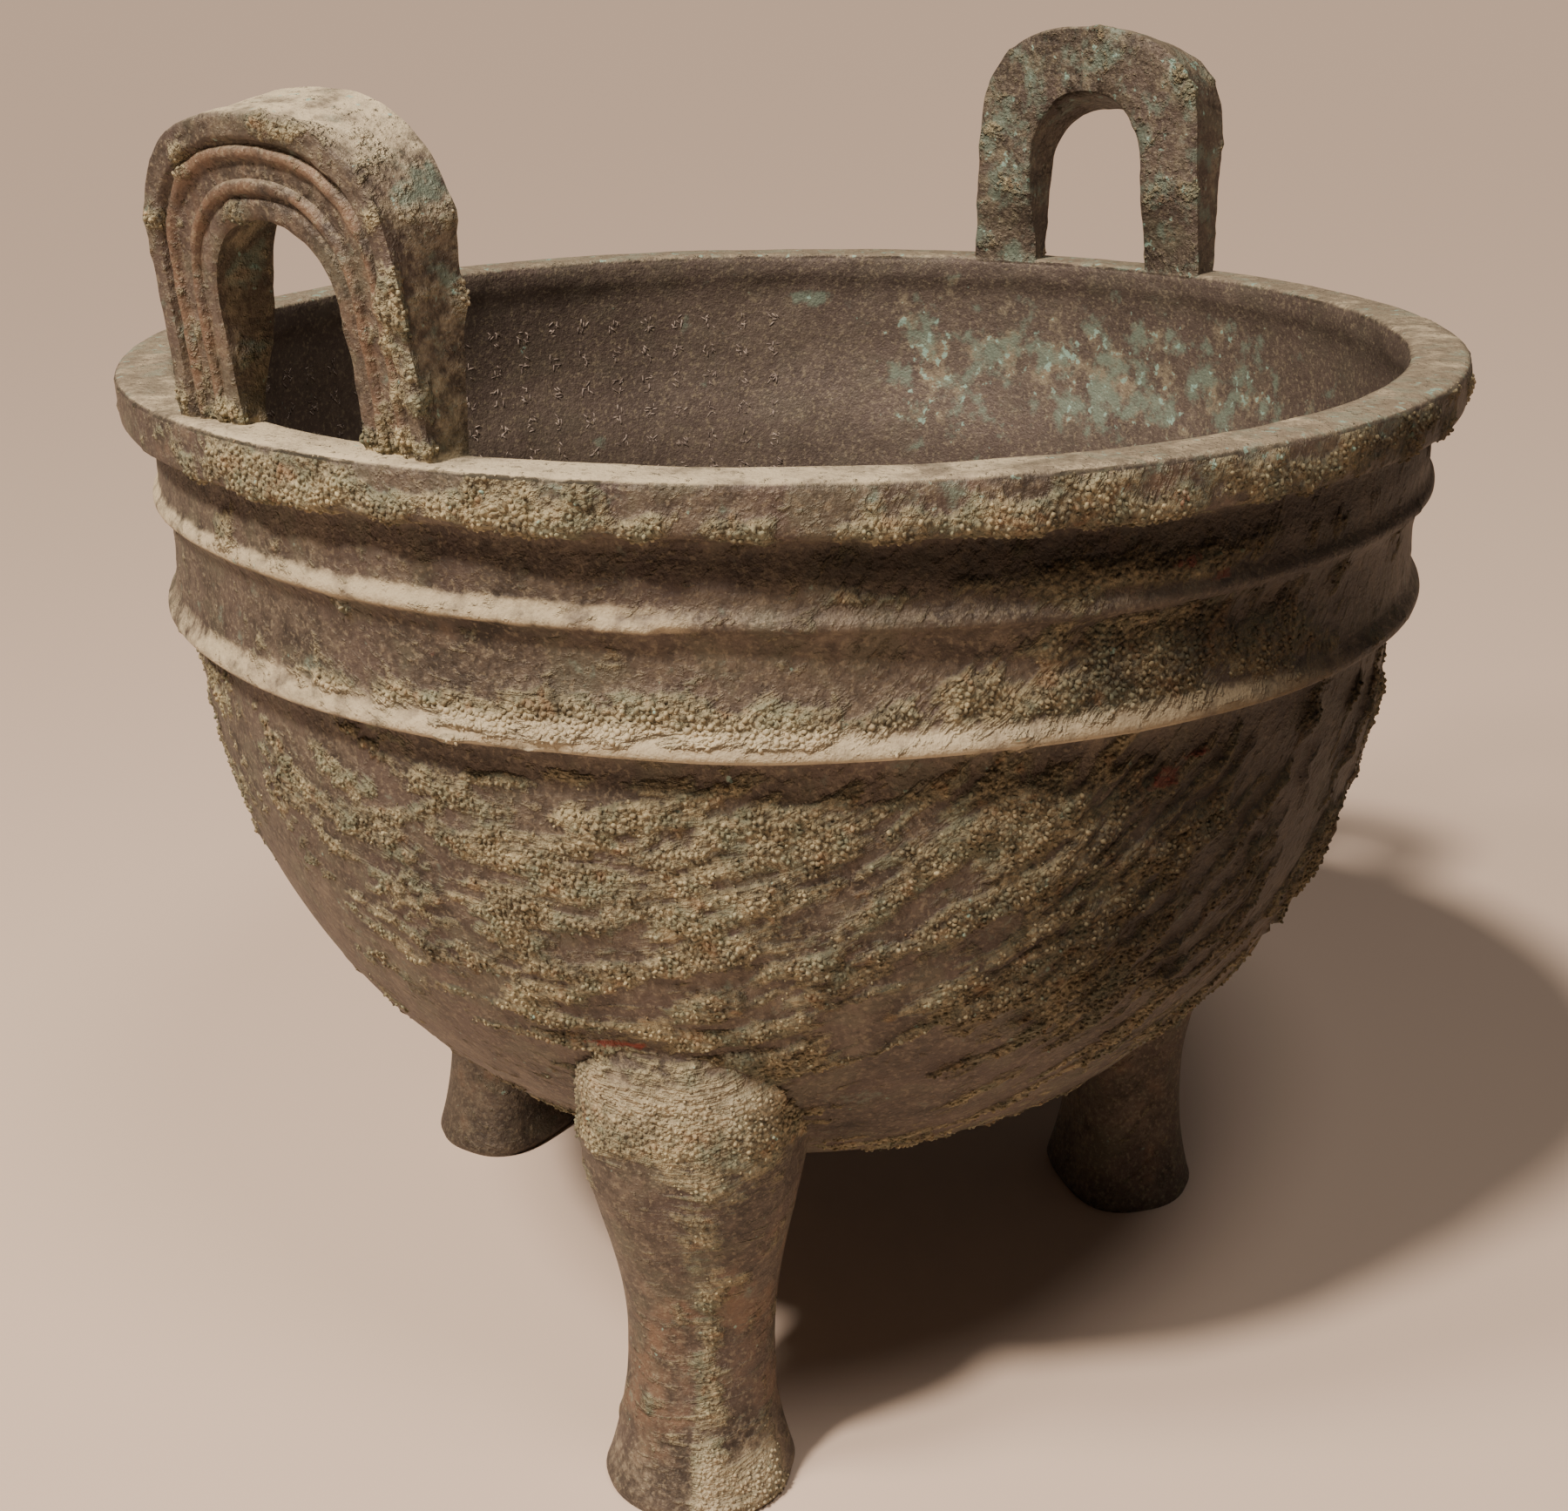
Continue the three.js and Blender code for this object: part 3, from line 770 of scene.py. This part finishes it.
def makeBronze():
    made, tree, shader = startMaterial("agedBronze")
    where = place(tree)
    flow = addNode(tree, "ShaderNodeAttribute", {"attribute_name": "flow"}).outputs["Vector"]
    broad, middle, fine = grain(tree, where, 24, 4), grain(tree, where, 130, 4), grain(tree, where, 430, 4, 0.65)
    grit, ridges = grain(tree, where, 1400, 3, 0.6), grain(tree, flow, 1.0, 3, 0.6)
    tone = calc(tree, "ADD", calc(tree, "MULTIPLY", broad, 0.30), calc(tree, "MULTIPLY", middle, 0.30))
    tone = calc(tree, "ADD", tone, calc(tree, "MULTIPLY", fine, 0.40))
    colour = ramp(tree, tone, colours["bronze"])
    colour = blendColour(tree, between(tree, grain(tree, where, 46, 3), 0.47, 0.62, 0, 0.55), colour, colours["purple"])
    colour = blendColour(tree, between(tree, grain(tree, where, 75, 4), 0.50, 0.64, 0, 0.6), colour, colours["olive"])
    colour = blendColour(tree, calc(tree, "MULTIPLY", painted(tree, "inside"), 0.6), colour, colours["inside"])
    share = calc(tree, "ADD", painted(tree, "copper"), scaled(tree, middle, 1.8))
    colour = blendColour(tree, between(tree, share, 0.30, 0.95, 0, 0.75), colour, colours["copper"])
    colour = blendColour(tree, between(tree, grain(tree, where, 800, 3), 0.52, 0.68, 0, 0.5), colour, colours["speck"])
    colour = blendColour(tree, between(tree, grit, 0.60, 0.72, 0, 0.5), colour, colours["pit"])
    # mottling: tan, green and dark red patches together
    mottle = painted(tree, "green")
    share = calc(tree, "ADD", mottle, scaled(tree, grain(tree, where, 150, 4, 0.65), 3.2))
    colour = blendColour(tree, between(tree, share, 0.55, 1.1, 0, 0.7), colour, colours["speck"])
    share = calc(tree, "ADD", mottle, scaled(tree, grain(tree, where, 110, 4, 0.65), 3.2))
    colour = blendColour(tree, between(tree, share, 0.50, 1.0, 0, 0.8), colour, colours["green"])
    # crust, in the same lines as the relief
    share = calc(tree, "ADD", painted(tree, "crust"), scaled(tree, ridges, 1.5))
    share = calc(tree, "ADD", share, scaled(tree, fine, 1.3))
    share = calc(tree, "SUBTRACT", share, painted(tree, "inside"))
    crusty, raised = between(tree, share, 0.15, 0.60), between(tree, share, 0.1, 1.0)
    colour = blendColour(tree, calc(tree, "MULTIPLY", crusty, 0.9), colour, crustColour(tree, where))
    # dust and painted light: faces that look up are made lighter
    up = addNode(tree, "ShaderNodeSeparateXYZ", Vector=addNode(tree, "ShaderNodeNewGeometry").outputs["Normal"]).outputs["Z"]
    colour = blendColour(tree, between(tree, calc(tree, "ADD", up, scaled(tree, fine, 0.8)), 0.45, 1.1, 0, 0.5),
                         colour, colours["dustAndTopLight"])
    paleShare = calc(tree, "ADD", painted(tree, "pale"), scaled(tree, calc(tree, "MULTIPLY", calc(tree, "ADD", fine, middle), 0.5), 1.5))
    colour = blendColour(tree, between(tree, paleShare, 0.25, 0.95, 0, 0.8), colour, colours["pale"])
    share = calc(tree, "ADD", calc(tree, "MULTIPLY", mottle, 0.20), grain(tree, where, 300, 3))
    colour = blendColour(tree, between(tree, share, 0.73, 0.80, 0, 0.75), colour, colours["malachite"])
    share = calc(tree, "ADD", painted(tree, "red"), scaled(tree, fine, 1.6))
    colour = blendColour(tree, between(tree, share, 0.45, 0.85, 0, 0.85), colour, colours["cuprite"])
    tree.links.new(shaded(tree, colour), shader.inputs["Base Color"])
    dull = calc(tree, "MAXIMUM", crusty, between(tree, paleShare, 0.25, 0.9))
    tree.links.new(between(tree, dull, 0, 1, 0.25, 0.0), shader.inputs["Metallic"])
    tree.links.new(calc(tree, "ADD", between(tree, dull, 0, 1, 0.52, 0.86), calc(tree, "MULTIPLY", fine, 0.14)),
                   shader.inputs["Roughness"])
    calm = between(tree, painted(tree, "inside"), 0, 1, 0.5, 0.22)
    height = calc(tree, "ADD", calc(tree, "MULTIPLY", fine, calm), calc(tree, "MULTIPLY", grit, 0.14))
    lumps = calc(tree, "SUBTRACT", 1.0, pebbles(tree, where, 780))
    rough = calc(tree, "ADD", calc(tree, "MULTIPLY", lumps, 0.55), calc(tree, "MULTIPLY", ridges, 0.8))
    rough = calc(tree, "ADD", rough, calc(tree, "MULTIPLY", grain(tree, where, 560, 3, 0.7), 1.0))
    height = calc(tree, "ADD", height, calc(tree, "MULTIPLY", raised, rough))
    bump = addNode(tree, "ShaderNodeBump", Strength=1.0, Distance=0.0016, Height=height)
    tree.links.new(bump.outputs["Normal"], shader.inputs["Normal"])
    return made


def makeCrustMaterial():
    made, tree, shader = startMaterial("crustGranules")
    where = place(tree)
    colour = crustColour(tree, where)
    colour = blendColour(tree, between(tree, painted(tree, "shade"), 0, 1, 0.0, 0.7), colour, (0.40, 0.36, 0.29, 1), "MULTIPLY")
    colour = blendColour(tree, between(tree, painted(tree, "pale"), 0.2, 0.9, 0, 0.7), colour, colours["pale"])
    share = calc(tree, "ADD", calc(tree, "MULTIPLY", painted(tree, "green"), 0.22), grain(tree, where, 300, 2))
    colour = blendColour(tree, between(tree, share, 0.72, 0.80, 0, 0.75), colour, colours["malachite"])
    colour = blendColour(tree, between(tree, painted(tree, "red"), 0.35, 0.75, 0, 0.85), colour, colours["cuprite"])
    tree.links.new(shaded(tree, colour), shader.inputs["Base Color"])
    shader.inputs["Roughness"].default_value = 0.92
    bump = addNode(tree, "ShaderNodeBump", Strength=0.6, Distance=0.0004, Height=grain(tree, where, 1600, 3))
    tree.links.new(bump.outputs["Normal"], shader.inputs["Normal"])
    return made


def makeStrokeMaterial():
    made, tree, shader = startMaterial("inscriptionFill")
    where = place(tree)
    share = between(tree, grain(tree, where, 300, 3), 0.4, 0.62, 0, 0.85)
    tree.links.new(blendColour(tree, share, colours["stroke"], colours["inside"]), shader.inputs["Base Color"])
    shader.inputs["Roughness"].default_value = 0.8
    bump = addNode(tree, "ShaderNodeBump", Strength=0.4, Distance=0.0003, Height=grain(tree, where, 1200, 2))
    tree.links.new(bump.outputs["Normal"], shader.inputs["Normal"])
    return made


agedBronze = makeBronze()
crustGranules = makeCrustMaterial()
inscriptionFill = makeStrokeMaterial()
vessel.data.materials.clear()
vessel.data.materials.append(agedBronze)
print("materials")


# loose crust, in granules scattered where the surface map says

crustPieces = {
    # heights from and to, middle azimuth and half range, on the legs or not, spacing and radius of the granules
    "crustRim": (251.5, 400, 0, 181, False, 1.1, 0.62),
    "crustNeck": (207, 251.5, 0, 181, False, 1.05, 0.66),
    "crustFront": (0, 207, -45, 75, False, 1.0, 0.62),
    "crustBack": (0, 207, 135, 105, False, 1.45, 0.7),
    "crustLegs": (0, 137, 0, 181, True, 1.15, 0.55),
}


def newTree(name, inputs):
    tree = bpy.data.node_groups.new(name, "GeometryNodeTree")
    tree.interface.new_socket("Geometry", in_out="INPUT", socket_type="NodeSocketGeometry")
    for socketName, kind, value in inputs:
        socket = tree.interface.new_socket(socketName, in_out="INPUT", socket_type=kind)
        if value is not None:
            socket.default_value = value
    tree.interface.new_socket("Geometry", in_out="OUTPUT", socket_type="NodeSocketGeometry")
    return tree, tree.nodes.new("NodeGroupInput"), tree.nodes.new("NodeGroupOutput")


def runTree(thing, tree, values):
    grow = thing.modifiers.new(tree.name, "NODES")
    grow.node_group = tree
    for item in tree.interface.items_tree:
        if item.in_out == "INPUT" and item.name in values:
            grow[item.identifier] = values[item.name]
    applyModifiers(thing)


def granuleTree():
    tree, given, result = newTree("scatterGranules", [
        ("spacing", "NodeSocketFloat", 0.0015), ("radius", "NodeSocketFloat", 0.0009),
        ("least crust", "NodeSocketFloat", 0.45), ("seed", "NodeSocketInt", 3), ("finish", "NodeSocketMaterial", None)])
    crust = addNode(tree, "GeometryNodeInputNamedAttribute", {"data_type": "FLOAT"}, Name="crust").outputs[0]
    share = addNode(tree, "ShaderNodeMapRange", Value=crust, From_Min=given.outputs["least crust"],
                    From_Max=1.0, To_Min=0.0, To_Max=1.0).outputs["Result"]
    spread = addNode(tree, "GeometryNodeDistributePointsOnFaces", {"distribute_method": "POISSON"},
                     Mesh=given.outputs["Geometry"], Distance_Min=given.outputs["spacing"], Density_Max=900000.0,
                     Density_Factor=share, Seed=given.outputs["seed"])
    lump = addNode(tree, "GeometryNodeMeshIcoSphere", Radius=given.outputs["radius"], Subdivisions=1)
    turned = addNode(tree, "FunctionNodeRandomValue", {"data_type": "FLOAT_VECTOR"}, Max=(6.3, 6.3, 6.3), Seed=5)
    sizes = addNode(tree, "FunctionNodeRandomValue", {"data_type": "FLOAT_VECTOR"},
                    Min=(0.55, 0.55, 0.5), Max=(1.35, 1.2, 1.0), Seed=7)
    grown = addNode(tree, "ShaderNodeVectorMath", {"operation": "SCALE"}, _0=sizes.outputs[0],
                    Scale=addNode(tree, "ShaderNodeMapRange", Value=crust, From_Min=0.3, From_Max=1.0,
                                  To_Min=0.55, To_Max=1.15).outputs["Result"])
    placed = addNode(tree, "GeometryNodeInstanceOnPoints", Points=spread.outputs["Points"],
                     Instance=lump.outputs["Mesh"], Rotation=turned.outputs[0], Scale=grown.outputs[0])
    shade = addNode(tree, "FunctionNodeRandomValue", {"data_type": "FLOAT"}, Seed=11)
    kept = addNode(tree, "GeometryNodeStoreNamedAttribute", {"data_type": "FLOAT", "domain": "INSTANCE"},
                   Geometry=placed.outputs["Instances"], Name="shade", Value=shade.outputs[1])
    whole = addNode(tree, "GeometryNodeRealizeInstances", Geometry=kept.outputs["Geometry"])
    smooth = addNode(tree, "GeometryNodeSetShadeSmooth", Geometry=whole.outputs["Geometry"])
    done = addNode(tree, "GeometryNodeSetMaterial", Geometry=smooth.outputs["Geometry"], Material=given.outputs["finish"])
    tree.links.new(done.outputs["Geometry"], result.inputs["Geometry"])
    return tree


def crustBase(name):
    low, high, middleAzimuth, reach, onLegs, spacing, radius = crustPieces[name]
    base = bpy.data.objects.new(name, vessel.data.copy())
    bpy.context.scene.collection.objects.link(base)
    sheet = bmesh.new()
    sheet.from_mesh(base.data)
    layer = sheet.verts.layers.float["crust"]
    spare = []
    for face in sheet.faces:
        middle = face.calc_center_median() / mm
        far = middle.xy.length > bellyRadius(middle.z) + 1.2 or middle.z < bowl["bellyBottom"]
        azimuth = math.degrees(math.atan2(middle.x, -middle.y))
        wanted = low <= middle.z < high and max(v[layer] for v in face.verts) > 0.35 and middle.z > 1.2
        wanted = wanted and abs((azimuth - middleAzimuth + 180) % 360 - 180) <= reach
        if high < bowl["rimHeight"]:
            wanted = wanted and (far and middle.z < 137) == onLegs
        if not wanted:
            spare.append(face)
    bmesh.ops.delete(sheet, geom=spare, context="FACES")
    sheet.to_mesh(base.data)
    sheet.free()
    return base


pieces = [vessel]
scatter = granuleTree()
for number, (name, settings) in enumerate(crustPieces.items()):
    spacing, radius = settings[-2:]
    piece = crustBase(name)
    runTree(piece, scatter, {"spacing": spacing * mm, "radius": radius * mm, "seed": 3 + number, "finish": crustGranules})
    pieces.append(piece)
    print(name, len(piece.data.polygons), "faces")


# the inscription: rows of short strokes on the far inner wall, in no script

inscription = {
    "from": 131, "to": 229, "columnStep": 3.9, "top": 243, "rowStep": 9.4, "rows": 8,
    "width": 3.6, "height": 4.6, "strokeLength": 1.3, "strokeWidth": 0.30, "strokeProud": 0.16, "perSign": 7, "clear": 0.05,
}


def innerWall():
    # finds the inner wall's radius, looking out from the bowl's axis
    mesh = vessel.data
    skin = BVHTree.FromPolygons([v.co.copy() for v in mesh.vertices], [tuple(p.vertices) for p in mesh.polygons])

    def radiusAt(azimuth, height):
        hit = skin.ray_cast(Vector((0, 0, height * mm)), Vector(aroundAxis(azimuth, 1.0, 0.0)))[0]
        return hit.xy.length / mm
    return radiusAt


def strokeTree():
    tree, given, result = newTree("cutStrokes", [
        ("length", "NodeSocketFloat", 0.002), ("width", "NodeSocketFloat", 0.0004), ("proud", "NodeSocketFloat", 0.0002),
        ("density", "NodeSocketFloat", 150000.0), ("seed", "NodeSocketInt", 21), ("finish", "NodeSocketMaterial", None)])
    spread = addNode(tree, "GeometryNodeDistributePointsOnFaces", {"distribute_method": "RANDOM"},
                     Mesh=given.outputs["Geometry"], Density=given.outputs["density"], Seed=given.outputs["seed"])
    stroke = addNode(tree, "GeometryNodeMeshIcoSphere", Radius=1.0, Subdivisions=1)
    size = addNode(tree, "ShaderNodeCombineXYZ", X=given.outputs["width"], Y=given.outputs["length"], Z=given.outputs["proud"])
    shaped = addNode(tree, "GeometryNodeTransform", Geometry=stroke.outputs["Mesh"], Scale=size.outputs[0])
    quarter = addNode(tree, "FunctionNodeRandomValue", {"data_type": "INT"}, Seed=23)
    quarter.inputs[4].default_value, quarter.inputs[5].default_value = 0, 5
    lean = addNode(tree, "FunctionNodeRandomValue", {"data_type": "FLOAT"}, Seed=25)
    lean.inputs[2].default_value, lean.inputs[3].default_value = -0.15, 0.15
    angle = calc(tree, "ADD", calc(tree, "MULTIPLY", quarter.outputs[2], math.pi / 4), lean.outputs[1])
    spin = addNode(tree, "FunctionNodeRotateRotation", {"rotation_space": "LOCAL"}, Rotation=spread.outputs["Rotation"],
                   Rotate_By=addNode(tree, "FunctionNodeAxisAngleToRotation", Axis=(0, 0, 1), Angle=angle).outputs[0])
    scale = addNode(tree, "FunctionNodeRandomValue", {"data_type": "FLOAT"}, Seed=27)
    scale.inputs[2].default_value, scale.inputs[3].default_value = 0.55, 1.1
    placed = addNode(tree, "GeometryNodeInstanceOnPoints", Points=spread.outputs["Points"],
                     Instance=shaped.outputs["Geometry"], Rotation=spin.outputs[0], Scale=scale.outputs[1])
    whole = addNode(tree, "GeometryNodeRealizeInstances", Geometry=placed.outputs["Instances"])
    smooth = addNode(tree, "GeometryNodeSetShadeSmooth", Geometry=whole.outputs["Geometry"])
    done = addNode(tree, "GeometryNodeSetMaterial", Geometry=smooth.outputs["Geometry"], Material=given.outputs["finish"])
    tree.links.new(done.outputs["Geometry"], result.inputs["Geometry"])
    return tree


def makeInscription():
    # one small panel for each sign, then strokes scattered on the panels
    s = inscription
    points, faces = [], []
    radiusAt = innerWall()
    for azimuth in np.arange(s["from"], s["to"], s["columnStep"]):
        for row in range(s["rows"]):
            jog = noise.noise(Vector((azimuth * 0.7, row * 1.3, 0)))
            middle = s["top"] - row * s["rowStep"] + 1.2 * jog
            halfTurn = math.degrees(s["width"] / 2 / bowl["innerRadius"])
            start = len(points)
            for sideways, up in ((-1, -1), (1, -1), (1, 1), (-1, 1)):
                height = middle + up * s["height"] / 2
                turn = azimuth + sideways * halfTurn
                points.append(aroundAxis(turn, radiusAt(turn, height) - s["clear"], height))
            faces.append((start, start + 1, start + 2, start + 3))
    panels = meshObject("inscription", points, faces)
    panels.data.update()
    if panels.data.polygons[0].normal.dot(panels.data.polygons[0].center) > 0:
        panels.data.flip_normals()
    area = s["width"] * s["height"] * mm * mm
    runTree(panels, strokeTree(), {
        "length": s["strokeLength"] * mm, "width": s["strokeWidth"] * mm, "proud": s["strokeProud"] * mm,
        "density": s["perSign"] / area, "seed": 21, "finish": inscriptionFill})
    return panels


pieces.append(makeInscription())
print("inscription", len(pieces[-1].data.polygons), "faces")


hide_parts("ding_vessel")
for piece in pieces:
    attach(piece, "root")
    print(piece.name, sum(len(p.vertices) - 2 for p in piece.data.polygons), "triangles")
